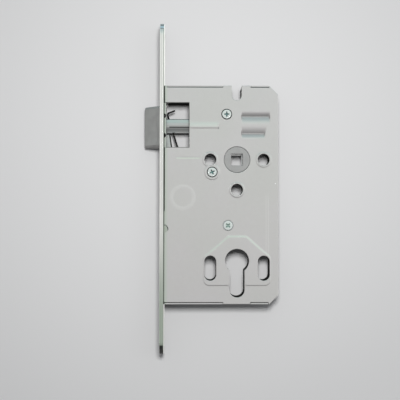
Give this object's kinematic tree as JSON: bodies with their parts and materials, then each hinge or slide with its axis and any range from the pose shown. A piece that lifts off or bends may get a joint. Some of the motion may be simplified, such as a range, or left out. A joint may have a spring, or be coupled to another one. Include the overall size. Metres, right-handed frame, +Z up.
{
  "type": "mortise door lock",
  "caption": "Mortise door lock with a long face plate, sprung latch, deadbolt, square-spindle follower and profile cylinder cut-out.",
  "frame": {"origin": "centre of the forend's front face", "axes": "+X from the forend into the door, +Z up along the forend, cover plate faces -Y"},
  "size_m": [0.0958, 0.02, 0.238],
  "materials": {
    "zinc_steel": "satin zinc-plated sheet",
    "forend_steel": "brushed zinc-plated steel",
    "die_cast": "matt grey die-cast zinc",
    "hub_zinc": "matt grey die-cast zinc",
    "bright_steel": "bright zinc-plated steel",
    "spring_wire": "black oiled spring wire",
    "screw_zinc": "bright zinc-plated steel"
  },
  "bodies": {
    "case": {"forend": "forend_steel", "forend_rivets": "forend_steel", "case_rear_plate": "zinc_steel", "case_walls": "zinc_steel", "cover_plate": "zinc_steel", "cover_screws": "screw_zinc", "case_posts": "bright_steel", "latch_spring_post": "bright_steel", "tumbler_pivot_pin": "bright_steel", "latch_spring": "spring_wire", "follower_spring": "spring_wire", "tumbler_spring": "spring_wire"},
    "latch": {"latch_head": "die_cast", "latch_tail": "bright_steel", "latch_pin": "bright_steel", "latch_heel": "bright_steel"},
    "follower": {"follower_cam": "bright_steel", "follower_collar_front": "hub_zinc", "follower_collar_rear": "hub_zinc"},
    "deadbolt": {"deadbolt_head": "bright_steel", "deadbolt_tail": "bright_steel", "deadbolt_rivets": "bright_steel"},
    "tumbler": {"tumbler_plate": "bright_steel", "tumbler_stump": "bright_steel"},
    "change_lever": {"change_lever": "bright_steel", "change_lever_pad": "bright_steel"}
  },
  "joints": [
    {"name": "follower_turn", "type": "hinge", "parent": "case", "child": "follower", "pos_m": [0.055, 0, 0.02], "axis": [0, 1, 0], "range_deg": [0, 38.1], "deforming": ["follower_spring"]},
    {"name": "latch_slide", "type": "slide", "parent": "case", "child": "latch", "axis": [1, 0, 0], "range_m": [0, 0.0113], "stiffness_N_per_m": 350, "springref_m": -0.01, "deforming": ["latch_spring"]},
    {"name": "change_lever_turn", "type": "hinge", "parent": "case", "child": "change_lever", "pos_m": [0.0486, 0, -0.0268], "axis": [0, 1, 0], "range_deg": [0, 10.6]},
    {"name": "deadbolt_throw", "type": "slide", "parent": "case", "child": "deadbolt", "axis": [-1, 0, 0], "range_m": [0, 0.02]},
    {"name": "tumbler_lift", "type": "hinge", "parent": "case", "child": "tumbler", "pos_m": [0.077, 0, -0.011], "axis": [0, 1, 0], "range_deg": [0, 10.1], "deforming": ["tumbler_spring"]}
  ],
  "couplings": [
    {"joint": "follower_turn", "follows": "latch_slide", "rad_per_m": 58.824},
    {"joint": "change_lever_turn", "follows": "latch_slide", "rad_per_m": 16.253},
    {"joint": "tumbler_lift", "follows": "deadbolt_throw", "rad_per_m": 8.7266}
  ]
}
